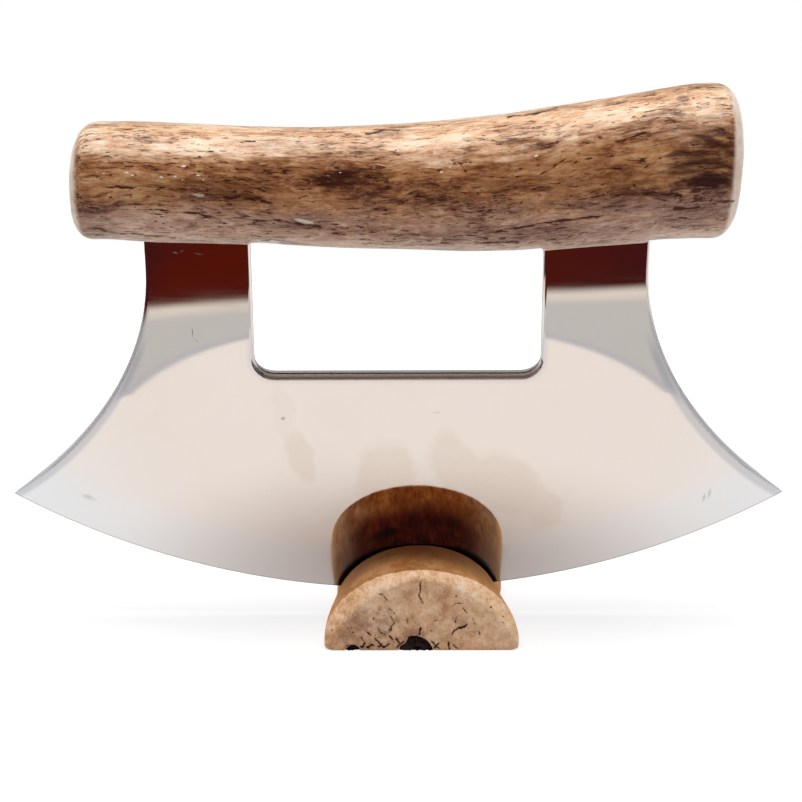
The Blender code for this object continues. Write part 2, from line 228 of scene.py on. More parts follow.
class Nodes:
    """The nodes of a new material or world, with one short call for each kind of node."""

    def __init__(self, name, owners=bpy.data.materials):
        self.owner = owners.new(name)
        self.owner.use_nodes = True
        self.tree = self.owner.node_tree
        self.tree.nodes.clear()

    def add(self, kind, inputs=(), **settings):
        node = self.tree.nodes.new("ShaderNode" + kind)
        for key, value in settings.items():
            setattr(node, key, value)
        for key, value in dict(inputs).items():
            self.put(node.inputs[key], value)
        return node

    def put(self, socket, value):
        if isinstance(value, bpy.types.NodeSocket):
            self.tree.links.new(value, socket)
        elif value is not None:
            if isinstance(value, tuple) and len(value) == 3 and socket.type == "RGBA":
                value = (*value, 1)
            socket.default_value = value

    def math(self, operation, *values):
        return self.add("Math", enumerate(values), operation=operation).outputs[0]

    def times(self, value, factor):
        return self.math("MULTIPLY", value, factor)

    def total(self, *pairs):
        """The sum of values times their weights."""
        result = 0.0
        for value, weight in pairs:
            result = self.math("MULTIPLY_ADD", value, weight, result)
        return result

    def strongest(self, *values):
        result = values[0]
        for value in values[1:]:
            result = self.math("MAXIMUM", result, value)
        return result

    def vector(self, operation, *values):
        node = self.add("VectorMath", enumerate(values), operation=operation)
        single = operation in ("DOT_PRODUCT", "LENGTH", "DISTANCE")
        return node.outputs["Value" if single else "Vector"]

    def ramp(self, value, low, high, start=0.0, end=1.0):
        """Eases from start to end as the value goes from low to high."""
        inputs = {"Value": value, "From Min": low, "From Max": high, "To Min": start, "To Max": end}
        return self.add("MapRange", inputs, interpolation_type="SMOOTHSTEP").outputs["Result"]

    def fall(self, value, low, high):
        return self.ramp(value, low, high, 1.0, 0.0)

    def mix(self, share, below, above, blend="MIX"):
        node = self.add("Mix", data_type="RGBA", blend_type=blend)
        for index, value in ((0, share), (6, below), (7, above)):
            self.put(node.inputs[index], value)
        return node.outputs[2]

    def layers(self, colour, *layers):
        """The colour with each layer's (share, colour) laid over it in turn."""
        for share, layer in layers:
            colour = self.mix(share, colour, layer)
        return colour

    def tones(self, value, *palettes):
        """For each palette, a colour that runs through it as the value passes the tone stops."""
        results = []
        for palette in palettes:
            node = self.add("ValToRGB", {"Fac": value})
            points = node.color_ramp.elements
            while len(points) < len(palette):
                points.new(1.0)
            for point, position, colour in zip(points, TONE_STOPS, palette):
                point.position = position
                point.color = (*colour, 1)
            results.append(node.outputs["Color"])
        return results

    def place(self):
        return self.add("TexCoord").outputs["Object"]

    def parted(self, vector):
        return self.add("SeparateXYZ", {"Vector": vector}).outputs

    def flat(self, x, y):
        return self.add("CombineXYZ", {"X": x, "Y": y}).outputs[0]

    def stretched(self, place, cells):
        """The place counted in cells of the given size along each axis."""
        counts = tuple(1 / cell for cell in cells)
        return self.add("Mapping", {"Vector": place, "Scale": counts}).outputs[0]

    def noise(self, place, cells, detail, roughness, distortion=0.0, output="Fac"):
        inputs = {"Vector": self.stretched(place, cells), "Scale": 1.0, "Detail": detail,
                  "Roughness": roughness, "Distortion": distortion}
        return self.add("TexNoise", inputs).outputs[output]

    def noises(self, place, table):
        return [self.noise(place, *row) for row in table]

    def warped(self, place, cells, reach):
        """The place pushed about by slow noise, so that lines drawn along it wander."""
        push = self.noise(place, cells, 2.0, 0.5, output="Color")
        push = self.vector("MULTIPLY", self.vector("SUBTRACT", push, (0.5,) * 3), reach)
        return self.vector("ADD", place, push)

    def dots(self, place, cells, rarity, smallest, largest):
        """Scattered dark dots: 1 in a dot, for the share of cells above the rarity."""
        node = self.add("TexVoronoi", {"Vector": self.stretched(place, cells), "Scale": 1.0})
        chance = self.add("SeparateColor", {"Color": node.outputs["Color"]}).outputs["Red"]
        size = self.ramp(chance, rarity, 1.0, smallest, largest)
        inside = self.fall(self.math("DIVIDE", node.outputs["Distance"], size), *DOT_EDGE)
        return self.times(self.math("GREATER_THAN", chance, rarity), inside)

    def spot(self, place, middle, size, turn, softness):
        """1 in the middle of an oval and 0 outside it; the softness is where it starts to fade."""
        inputs = {"Vector": place, "Center": (*middle, 0.0), "Angle": -turn}
        turned = self.add("VectorRotate", inputs, rotation_type="Z_AXIS").outputs[0]
        away = self.vector("SUBTRACT", turned, (*middle, 0.0))
        away = self.vector("DIVIDE", away, (*size, 1.0))
        return self.fall(self.vector("LENGTH", away), softness, 1.0)

    def painted(self, name, output="Fac"):
        return self.add("Attribute", attribute_name=name).outputs[output]

    def bump(self, height, distance, strength):
        inputs = {"Height": height, "Distance": distance, "Strength": strength}
        return self.add("Bump", inputs).outputs["Normal"]

    def finish(self, **inputs):
        sockets = {key.replace("_", " "): value for key, value in inputs.items()}
        return self.surface(self.add("BsdfPrincipled", sockets))

    def surface(self, shader, kind="Material"):
        self.add("Output" + kind, {"Surface": shader.outputs[0]})
        return self.owner


TONE_STOPS = (0.405, 0.465, 0.525, 0.6)
MOST = (0.3, 0.7)  # most values of a noise lie between these
DOT_EDGE = (0.6, 1.1)


# Blade

STEEL = (0.715, 0.712, 0.708)
# the haze's tone, and the painted reflections of shade on the polished front
STEEL_HAZE_AND_SHADE = (0.605, 0.548, 0.48)
STEEL_GROUND = (0.69, 0.728, 0.768)
STEEL_RUBBED = (0.53, 0.56, 0.605)  # where the buffing wheel ran off the sides
STEEL_MARK = (0.36, 0.34, 0.33)
STEEL_HONED = (0.34, 0.34, 0.36)
STEEL_CUT = (0.84, 0.74, 0.69)  # the walls of the cut-out shape
STEEL_WORN = (0.95, 0.86, 0.81)
STEEL_WALL = (0.74, 0.735, 0.755)  # the outer sides are dulled by sanding
# Painted shade and painted highlight: a dark and a bright line along the window floor's back
STEEL_SHADE = (0.012, 0.008, 0.006)  # dark and bright lines along the window floor's back
STEEL_HIGHLIGHT = (0.93, 0.92, 0.92)
# Noises: cells along each axis, detail, roughness.
STEEL_NOISES = (
    ((0.03, 0.03, 0.024), 3, 0.55),  # haze
    ((0.0009, 0.05, 0.05), 3, 0.6),  # upright lines of the grind
    ((0.0016, 0.0016, 0.0016), 4, 0.7),  # flecks
    ((0.009, 0.009, 0.0007), 4, 0.6),  # traces of the polish
)
CUT_LINES = ((0.0007, 0.02, 0.0007), 3, 0.6)
HAZE = (0.5, 0.72)
POLISH_ROUGHNESS = (0.02, 0.045)
GROUND_ROUGHNESS = (0.03, 0.08)
CUT_ROUGHNESS = (0.4, 0.52)
GRIND_START = EDGE_RADIUS - RELIEF_WIDTH
GRIND_BLEND = 0.003
HONED = 0.00035  # a narrow darker line along the cutting edge
# The hollow sides follow a circle, with a buffed strip and a dulled edge up to the tangs.
SIDE_MIDDLE = (0.123, 0.0851)
SIDE_RADIUS = 0.0691
LEFT_TO_RIGHT = (-0.01, 0.01)
RUBBED_WIDE = (0.0021, 0.0025)  # on the left and on the right
RUBBED_EDGE = (-0.0005, 0.0007)
RUBBED_TOP = (0.056, 0.064)
DULLED = 0.7
DULL_EDGE = (0.0003, 0.0014)
DULL_TOP = (0.062, 0.07)
# The window's floor rises a little to the back, and its rolled-over edges mirror less.
WINDOW_FLOOR = 0.05245
WINDOW_HALF = (0.0322, 0.0317)  # across and up
WINDOW_CORNER = 0.0045
WINDOW_REACH = 0.035
FLOOR_LIFT = 0.0009
ROLLED_EDGE = 0.0021
ROLLED_TOP = (0.058, 0.066)
WALL_LIMIT = 0.3  # a face less turned to the front than this is a cut wall
FLOOR_LIMIT = 0.98  # and one on the window's floor less than this
FLOOR_FACING = 0.1  # a face turned up more than this, within the window's reach, is its floor
SHADE_START, BRIGHT_START = 0.0004, -0.00005
LINE_BLUR = 0.00008
LINE_WANDER = 0.0003
OUTER_START = 0.04
# Painted reflections of shade and small marks of the front, in millimetres from the edge's
# lowest point: across, up, half width, half height, turn in degrees, strength.
SHADE_REFLECTIONS = (
    (-22.3, 33, 3.8, 7.8, 18, 0.42), (-26, 45, 3, 7, 0, 0.1), (-2.9, 28, 8.4, 10.8, -8, 0.42),
    (13.2, 30.6, 6.2, 11.5, 22, 0.42), (24.4, 26, 12, 8.8, -34, 0.44), (33, 20.4, 6.4, 5.4, -50, 0.38),
    (10, 20, 30, 10, 0, 0.16),
)
RUBS = (
    (-71.6, 23.4, 1.9, 0.9, -15, 0.4), (-70.2, 22.8, 1, 0.6, 0, 0.3),
    (70.5, 22.9, 0.45, 1.5, -12, 0.55), (71.7, 24.1, 0.45, 1.8, -8, 0.5),
    (-26, 42.6, 0.7, 0.6, 0, 0.85), (8.8, 43.9, 1.1, 0.35, 0, 0.25), (-45.6, 62.9, 0.2, 1.5, 3, 0.85),
    (-44.9, 61.1, 0.2, 1.2, 50, 0.85),
)
SCUFFS = (
    (-48.5, 81.3, 0.9, 0.25, -20, 0.5), (-47.1, 81.5, 0.5, 0.2, 40, 0.5),
    (-43.5, 80.9, 1.6, 0.45, -6, 0.3),
)
SHADE_REFLECTION_WARP = ((0.006,) * 3, (0.0045,) * 3)  # cells and reach of the noise
SCUFF_WARP = ((0.001,) * 3, (0.0006,) * 3)
SHADE_REFLECTION_SOFT, RUB_SOFT, SCUFF_SOFT = 0.62, 0.25, 0.3


def ground_normal(place, side):
    """The exact normal of the grind at a place: each side is part of a shallow cone."""
    out = place - BLADE_SEAT - EDGE_RADIUS * BLADE_UP
    radial = (out - out.dot(BLADE_FRONT) * BLADE_FRONT).normalized()
    relief = RELIEF_DEPTH / RELIEF_WIDTH
    slope = relief if side > 0 else (BLADE_THICKNESS - RELIEF_DEPTH) / BEVEL_WIDTH
    return (side * BLADE_FRONT + slope * radial).normalized()


def face_kind(face, side):
    if side * face.normal.dot(BLADE_FRONT) > FLAT_LIMIT:
        return "flat"
    low = (face.center - BLADE_SEAT - EDGE_RADIUS * BLADE_UP).length > EDGE_RADIUS - RELIEF_WIDTH
    near = face.normal.dot(ground_normal(face.center, side)) > GROUND_LIMIT
    return "ground" if low and near else "edge"


def blade_normals(mesh):
    """Flat faces stay flat, the grind turns evenly and the rounded edges are smooth."""
    kinds = []
    broad = {}
    edge_sums = {}
    for face in mesh.polygons:
        side = 1 if face.normal.dot(BLADE_FRONT) > 0 else -1
        kind = face_kind(face, side)
        kinds.append((kind, side))
        for point in face.vertices:
            if kind == "edge":
                edge_sums.setdefault(point, []).append(face.normal * face.area)
            elif kind == "flat":
                broad[point, side] = MIRROR_FRONT if side > 0 else -BLADE_FRONT
            elif (point, side) not in broad:
                shown = ground_normal(mesh.vertices[point].co, side)
                if side > 0:
                    shown = MIRROR_FRONT.lerp(shown, RELIEF_SHOWN).normalized()
                broad[point, side] = shown
    normals = []
    for face, (kind, side) in zip(mesh.polygons, kinds):
        for loop in face.loop_indices:
            point = mesh.loops[loop].vertex_index
            if kind == "ground" and side < 0:
                normals.append(ground_normal(mesh.vertices[point].co, side))
            elif kind != "edge":
                normals.append(broad[point, side])
            elif (point, side) in broad and abs(face.normal.dot(BLADE_FRONT)) > BROAD_LIMIT:
                normals.append(broad[point, side])
            else:
                near = [n for n in edge_sums[point] if n.normalized().dot(face.normal) > SMOOTH_LIMIT]
                normals.append(sum(near, Vector()).normalized() if near else face.normal)
    return normals


def lift_window_floor(mesh):
    for vertex in mesh.vertices:
        place = vertex.co - BLADE_SEAT
        height = (place.dot(BLADE_UP) - WINDOW_FLOOR) / WINDOW_CORNER
        if abs(place.x) < WINDOW_HALF[0] + WELD and -0.5 < height < 1:
            back = 0.5 - place.dot(BLADE_FRONT) / BLADE_THICKNESS
            vertex.co += FLOOR_LIFT * back * min(1, 1 - height) * BLADE_UP


def make_blade_piece():
    mesh = welded_mesh("blade", "blade_polished")
    lift_window_floor(mesh)
    mesh.normals_split_custom_set(blade_normals(mesh))
    mesh.materials.append(steel_material())
    mesh.materials.append(cut_steel_material())
    for face in mesh.polygons:
        on_floor = face.normal.dot(BLADE_UP) > FLOOR_FACING and abs(face.center.x) < WINDOW_REACH
        limit = FLOOR_LIMIT if on_floor else WALL_LIMIT
        face.material_index = int(abs(face.normal.dot(BLADE_FRONT)) < limit)
    return mesh_piece("blade_polished", mesh, "knife", "steel", "blade")


def blade_place(n):
    """The place on the blade: across, up and to the front from the edge's lowest point."""
    from_seat = n.vector("SUBTRACT", n.place(), tuple(BLADE_SEAT))
    up, front = (n.vector("DOT_PRODUCT", from_seat, tuple(way)) for way in (BLADE_UP, BLADE_FRONT))
    return n.parted(from_seat)["X"], up, front


def steel_material():
    n = Nodes("polished_steel")
    haze, lines, fleck, polish = n.noises(n.place(), STEEL_NOISES)
    haze = n.ramp(haze, *HAZE)
    across, up, front = blade_place(n)
    flat = n.flat(across, up)
    radius = n.vector("DISTANCE", flat, (0.0, EDGE_RADIUS, 0.0))
    ground = n.ramp(radius, GRIND_START - GRIND_BLEND, GRIND_START + GRIND_BLEND)
    honed = n.ramp(radius, EDGE_RADIUS - HONED, EDGE_RADIUS - HONED / 3)

    half = n.flat(n.math("ABSOLUTE", across), up)
    from_side = n.math("SUBTRACT", n.vector("DISTANCE", half, (*SIDE_MIDDLE, 0.0)), SIDE_RADIUS)
    dull = n.times(n.fall(from_side, *DULL_EDGE), n.fall(up, *DULL_TOP))
    strip = n.math("SUBTRACT", from_side, n.ramp(across, *LEFT_TO_RIGHT, *RUBBED_WIDE))
    rubbed = n.times(n.fall(strip, *RUBBED_EDGE), n.fall(up, *RUBBED_TOP))
    inner = tuple(value - WINDOW_CORNER for value in WINDOW_HALF)
    from_window = n.vector("SUBTRACT", flat, (0.0, WINDOW_FLOOR + WINDOW_HALF[1], 0.0))
    from_window = n.vector("SUBTRACT", n.vector("ABSOLUTE", from_window), (*inner, 0.0))
    from_window = n.vector("LENGTH", n.vector("MAXIMUM", from_window, (0.0, 0.0, 0.0)))
    rolled = n.fall(from_window, WINDOW_CORNER, WINDOW_CORNER + ROLLED_EDGE)
    rolled = n.times(rolled, n.fall(up, *ROLLED_TOP))
    on_front = n.math("GREATER_THAN", front, 0.0)

    def marks(table, place, softness):
        spots = []
        for x, e, width, height, turn, strength in table:
            spot = n.spot(place, millimetres(x, e), millimetres(width, height), radians(turn), softness)
            spots.append(n.times(spot, strength))
        return n.times(n.strongest(*spots), on_front)

    # painted reflections of shade: darker patches laid into the steel's colour
    shade_reflection = marks(SHADE_REFLECTIONS, n.warped(flat, *SHADE_REFLECTION_WARP), SHADE_REFLECTION_SOFT)
    shade_reflection = n.times(shade_reflection, n.ramp(fleck, *MOST, 0.8, 1.0))
    rub = n.times(marks(RUBS, flat, RUB_SOFT), n.ramp(fleck, 0.35, 0.6, 0.6, 1.0))
    scuff = marks(SCUFFS, n.warped(flat, *SCUFF_WARP), SCUFF_SOFT)
    colour = n.layers(
        STEEL,
        (n.times(haze, 0.1), STEEL_HAZE_AND_SHADE),
        (shade_reflection, STEEL_HAZE_AND_SHADE),
        (n.times(ground, n.ramp(lines, *MOST, 0.75, 1.0)), STEEL_GROUND),
        (rubbed, STEEL_RUBBED),
        (n.times(rolled, 0.75), STEEL_RUBBED),
        (rub, STEEL_MARK),
        (n.times(honed, 0.65), STEEL_HONED),
        (dull, STEEL_WALL),
    )
    roughness = n.total(
        (n.ramp(polish, *MOST, *POLISH_ROUGHNESS), 1.0), (haze, 0.015), (rubbed, 0.06), (shade_reflection, 0.02),
        (rub, 0.25), (scuff, 0.45), (dull, 0.4),
        (n.times(ground, n.ramp(lines, *MOST, *GROUND_ROUGHNESS)), 1.0),
    )
    return n.finish(Base_Color=colour, Metallic=n.total((dull, -DULLED), (1.0, 1.0)), Roughness=roughness,
                    Normal=n.bump(lines, 0.000008, n.times(ground, 0.05)))


def cut_steel_material():
    n = Nodes("cut_steel")
    lines = n.noise(n.place(), *CUT_LINES)
    across, _, front = blade_place(n)
    outer = n.math("GREATER_THAN", n.math("ABSOLUTE", across), OUTER_START)
    back = n.total((lines, LINE_WANDER), (front, 1.0), (outer, 1.0), (-LINE_WANDER / 2, 1.0))
    # painted shade and painted highlight along the window floor's back
    shade, edge_highlight = (n.fall(back, start - LINE_BLUR, start) for start in (SHADE_START, BRIGHT_START))
    colour = n.layers(STEEL_CUT, (n.ramp(lines, *MOST), STEEL_WORN), (outer, STEEL_WALL),
                      (shade, STEEL_SHADE), (edge_highlight, STEEL_HIGHLIGHT))
    return n.finish(Base_Color=colour, Metallic=n.total((edge_highlight, -1.0), (outer, -DULLED), (1.0, 1.0)),
                    Roughness=n.ramp(lines, *MOST, *CUT_ROUGHNESS), Normal=n.bump(lines, 0.00003, 0.4))


# Handle

# Marks of the bone's front in millimetres: across, up, half length, half height,
# turn in degrees, strength.
AMBER_MARKS = (
    (-38.7, 99.9, 9, 3.1, -3, 1), (-52.5, 100.6, 10, 2.2, -3, 0.7), (-16.9, 102.7, 9, 4, 0, 1),
    (14.5, 100.9, 15, 2.2, 2, 0.65), (41.7, 101.2, 6.5, 3.4, 4, 0.85), (-8, 111.8, 7, 1.2, 4, 0.7),
    (22, 105.5, 9, 2, 8, 0.5),
)
DARK_MARKS = (
    (-17, 102.4, 5.6, 2.2, 0, 1), (-36.4, 98.3, 6.4, 0.9, -5, 0.8), (57.5, 105.6, 9, 1.9, 5, 0.8),
    (59, 106.5, 8, 5.5, 5, 0.85), (59.5, 101.3, 9, 2.4, 2, 1), (54, 100.9, 4.5, 1.5, 6, 0.9),
    (46.8, 99, 8, 0.8, -3, 0.8), (43.2, 110.9, 3.6, 0.5, 14, 0.7), (52.4, 107.4, 2.6, 0.8, 22, 0.7),
    (54.7, 118.6, 1.4, 0.8, 10, 0.7),
)
GREY_MARKS = (
    (-69, 92.6, 6, 3.2, 0, 0.8), (-27.5, 93, 11, 1.9, 0, 0.8), (22, 90.6, 24, 2.6, 2, 0.8),
    (45, 96.4, 16, 2.2, 2, 0.7), (57, 111.5, 9, 3, 6, 0.6), (59, 95, 9, 3.6, 0, 0.55),
    (56, 95, 12, 3.4, 3, 0.95), (-29, 109.6, 10, 1.3, 0, 0.5),
)
PALE_MARKS = (
    (-46.6, 98.9, 1.8, 1, 0, 0.55), (-25.4, 93.5, 2.4, 0.6, -8, 0.9), (-33.2, 88.6, 3.2, 0.9, 0, 1),
)
# Lighter marks; the first two, at the tops of the ends, are painted highlights.
LIGHTER_AND_HIGHLIGHT_MARKS = (
    (66, 119.5, 7, 4, 0, 1), (-69, 112.5, 7, 3, 0, 1), (-57, 103, 22, 7, 0, 0.8),
    (-54, 94, 18, 3, -3, 0.6), (-6, 96, 14, 2.6, 0, 0.45), (33, 107.5, 16, 2.2, 9, 0.5),
    (60, 116, 9, 2, 8, 0.5), (-59, 110.7, 6, 2.2, 0, 1), (25.5, 109.8, 6, 1.8, 6, 1),
)
# Painted glints: small white highlight specks laid into the colour within these marks.
GLINT_MARKS = (
    (-56, 103.6, 14, 2, 0, 1), (-16.5, 103.3, 4, 1.1, 0, 1), (3.5, 103.6, 8, 1.1, 2, 1),
    (24, 107.3, 6, 1.4, 8, 1),
)
# Cracks: half width, then corners, in millimetres.
HANDLE_CRACKS = (
    (0.17, (-57.6, 96.3), (-52, 95.4), (-47, 94.9), (-42.5, 93.9)),
    (0.3, (-41.2, 98.4), (-37.5, 98.6), (-34, 98), (-31.6, 97.2)),
    (0.22, (-35.4, 93.4), (-31, 93.7), (-26, 92.7), (-21.3, 92.3)),
    (0.24, (-18.6, 90.9), (-16.2, 90.6)), (0.15, (-61.7, 91.2), (-57, 90.8), (-52.7, 90.6)),
    (0.22, (-70.8, 91.9), (-67.2, 91.6)), (0.15, (-46.9, 108.2), (-43.7, 107.9)),
    (0.15, (-38, 110), (-35, 110.3)), (0.17, (6.4, 106.2), (8.2, 105.4), (9.2, 103.8)),
    (0.11, (9.4, 103.3), (13, 102.4), (19, 102.5), (24.2, 102.9), (27.5, 104.4), (30, 106.2)),
    (0.17, (15.9, 91.3), (22, 92.2), (28.7, 93.3), (33, 94), (39.3, 94.7)),
    (0.34, (28.4, 93.2), (31.6, 94)), (0.26, (53, 96), (58, 96.3), (62, 97.1), (65.2, 97.3)),
    (0.22, (40.2, 98.6), (45, 99.2), (50, 98.9), (54, 98.7)),
    (0.18, (40, 110), (43, 110.2), (46.4, 111.7)), (0.14, (18.4, 115), (24.3, 115.9), (28.9, 117.2)),
    (0.2, (37.9, 96.5), (42.3, 96.9)), (0.15, (-25.6, 98.4), (-23.7, 99)),
    (0.15, (-34.8, 100.7), (-32.8, 99.6)), (0.15, (-11.7, 111.6), (-8, 112.2), (-4.6, 112.3)),
    (0.26, (13.4, 88.6), (17, 88.4), (20.4, 88.8)), (0.13, (-66, 100.5), (-59, 100.9), (-52, 100.5)),
    (0.16, (-34.6, 88.7), (-31.6, 88.9)),
)
BACK_SHIFT = 0.0065  # the back carries the same marks turned about and moved
HANDLE_ENDS = (-0.0722, 0.064)  # where the sawn ends begin
END_ROUND = 0.0014
END_FACING = (0.3, 0.55)
END_CORE = (0.0055, 0.0085)  # radii of the spongy core that shows in a sawn end
GRAIN_RADIUS = 0.0135
GRAIN_SLICES = 48
# How much a face has to turn to the front or the back to carry marks, or cracks
MARK_FACING = (0.05, 0.4)
CRACK_FACING = (0.0, 0.12)
# Noises of the shape: cells along each axis, seed, octaves, strength.
HANDLE_GRAINS = (
    ((0.02, 0.008, 0.008), 1, 2),  # swells
    ((0.012, 0.0011, 0.0011), 2, 2),  # fibres
    ((0.006, 0.0011, 0.0011), 4, 3, 0.55),  # ragged edges of marks
    ((0.0035, 0.0035, 0.0018), 5, 2, 0.00045),  # wobble of cracks
)
# The underside swells round the tangs: between two places, each with the length of its slope.
TANG_LIPS = ((-0.056, 0.014, -0.0377, 0.0006), (0.0268, 0.0009, 0.0486, 0.0006))
LIP_DROP = 0.0006
LIP_UNDER = (0.5, 0.85)
SWELL_RISE, FIBRE_RISE, PALE_DEPTH, CRACK_DEPTH = 0.00012, 0.00005, 0.0001, 0.00009


def grain_places(points, reach):
    """Places counted along the bone, so that its grain follows every bend and taper."""
    slices = np.linspace(*reach, GRAIN_SLICES)
    rows = np.clip(np.digitize(points[:, 0], slices), 1, GRAIN_SLICES - 1)
    centres = (slices[1:] + slices[:-1]) / 2
    places = [points[:, 0]]
    for axis in (1, 2):
        parts = [points[rows == row, axis] for row in range(1, GRAIN_SLICES)]
        lows, highs = (np.array([pick(part) for part in parts]) for pick in (np.min, np.max))
        middle = np.interp(points[:, 0], centres, (lows + highs) / 2)
        half = np.interp(points[:, 0], centres, (highs - lows) / 2)
        places.append((points[:, axis] - middle) / half * GRAIN_RADIUS)
    return np.stack(places, axis=1)


def make_handle_piece():
    low_end, high_end = HANDLE_ENDS
    mesh, points, normals = even_mesh("handle", "handle_bone", *HANDLE_EVEN)
    across = np.where(normals[:, 1] < 0, points[:, 0], BACK_SHIFT - points[:, 0])
    up = points[:, 2]
    facing = step_up(np.abs(normals[:, 1]), *MARK_FACING)
    low_facing = step_up(np.abs(normals[:, 1]), *CRACK_FACING)
    swell, fibres, ragged, wobble = (grain(points, *row) for row in HANDLE_GRAINS)

    cracks = crack_field(across, up + wobble, HANDLE_CRACKS) * low_facing
    pale = mark_field(across, up, PALE_MARKS, 0.9 * ragged) * low_facing
    places = grain_places(points, (low_end + 0.003, high_end - 0.003))
    paint_places(mesh, "along_grain", places)
    for name, table in (("amber", AMBER_MARKS), ("dark", DARK_MARKS), ("grey", GREY_MARKS),
                        ("light", LIGHTER_AND_HIGHLIGHT_MARKS), ("glint", GLINT_MARKS)):
        paint(mesh, **{name: mark_field(across, up, table, ragged) * facing})
    ends = np.maximum(step_up(-points[:, 0], -low_end, END_ROUND - low_end),
                      step_up(points[:, 0], high_end, high_end + END_ROUND))
    ends *= step_up(np.abs(normals[:, 0]), *END_FACING)
    low_middle, high_middle = (
        points[past].mean(axis=0) for past in (points[:, 0] < low_end, points[:, 0] > high_end)
    )
    middle = np.where((points[:, 0] < 0)[:, None], low_middle, high_middle)
    from_middle = np.hypot(*(points - middle)[:, 1:].T)
    paint(mesh, rise=0.5 + 0.5 * normals[:, 2], pale=pale, crack=cracks, end=ends,
          core=ends * (1 - step_up(from_middle + SWELL_SHIFT * swell, *END_CORE)))

    relief = SWELL_RISE * swell + FIBRE_RISE * fibres - PALE_DEPTH * pale
    relief -= CRACK_DEPTH * step_up(cracks, *CRACK_CUT)
    points = points + normals * relief[:, None]
    under = step_up(-places[:, 2] / GRAIN_RADIUS, *LIP_UNDER)
    for left, left_slope, right, right_slope in TANG_LIPS:
        beside = step_up(places[:, 0], left - left_slope, left)
        beside *= 1 - step_up(places[:, 0], right, right + right_slope)
        points[:, 2] -= LIP_DROP * under * beside
    move_points(mesh, points)
    return mesh_piece("handle_bone", mesh, "knife", "handle_bone", "handle")


# Colours from dark to light, of the handle's top, sides, underside and sawn ends. The top's and
# the underside's are partly paler bone and partly painted light, from above and from the floor below.
HANDLE_UPPER_PALE_AND_LIT = ((0.43, 0.195, 0.105), (0.71, 0.39, 0.21), (0.88, 0.57, 0.36), (0.98, 0.8, 0.61))
HANDLE_MIDDLE = ((0.09, 0.021, 0.007), (0.255, 0.09, 0.032), (0.44, 0.185, 0.072), (0.64, 0.35, 0.17))
HANDLE_LOWER = ((0.13, 0.046, 0.032), (0.34, 0.17, 0.112), (0.51, 0.295, 0.205), (0.7, 0.49, 0.38))
HANDLE_BOTTOM_PALE_AND_LIT = ((0.34, 0.19, 0.14), (0.56, 0.36, 0.27), (0.71, 0.5, 0.39), (0.82, 0.65, 0.54))
HANDLE_END = ((0.8, 0.56, 0.42), (0.92, 0.7, 0.56), (0.97, 0.8, 0.67), (0.99, 0.88, 0.78))
UPPER_RISE = (0.6, 0.86)
LOWER_RISE = (0.22, 0.42)
BOTTOM_RISE = (0.05, 0.17)
HANDLE_AMBER = (0.2, 0.058, 0.009)
HANDLE_VEIN = (0.085, 0.022, 0.008)
HANDLE_DARK = (0.045, 0.005, 0.002)
HANDLE_FLECK = (0.86, 0.58, 0.34)
HANDLE_GREY = (0.22, 0.125, 0.1)
HANDLE_PALE = (0.74, 0.64, 0.54)
HANDLE_CORE = (0.3, 0.16, 0.085)
# colour of the painted glints
GLINT = (0.95, 0.9, 0.84)
# Noises along the grain: cells along each axis, detail, roughness, distortion.
HANDLE_WARP = ((0.014, 0.008, 0.008), (0.0, 0.003, 0.003))
HANDLE_NOISES = (
    ((0.022, 0.0055, 0.0055), 3, 0.6),  # broad shades
    ((0.008, 0.0011, 0.0011), 5, 0.72, 0.4),  # streaks
    ((0.0032, 0.0015, 0.0015), 4, 0.66, 0.6),  # blotches
    ((0.0026, 0.00038, 0.00038), 4, 0.7, 0.3),  # fibres
    ((0.0028, 0.00058, 0.00058), 3, 0.6, 0.4),  # dashes
    ((0.0016, 0.0003, 0.0003), 3, 0.6),  # hairs
    ((0.006, 0.00075, 0.00075), 4, 0.62, 0.5),  # veins
)
# Where each noise turns into lines and flecks, which crowd in the broad shades' darker parts
CROWDING = (0.35, 0.65, 0.035, -0.035)
VEINS = (0.545, 0.64)
DASHES = (0.6, 0.632)
HAIRS = (0.635, 0.67)
FLECKS = (0.34, 0.4)
# Dots: cells along each axis, rarity, least and greatest size in cells.
HANDLE_PITS = ((0.0026, 0.0013, 0.0013), 0.78, 0.06, 0.17)
HANDLE_GLINTS = ((0.0015, 0.0006, 0.0006), 0.52, 0.12, 0.4)
CRACK_STAIN = (0.65, 1.15, 0.0, 0.5)
CRACK_LINE = (1.06, 1.18, 0.0, 0.95)


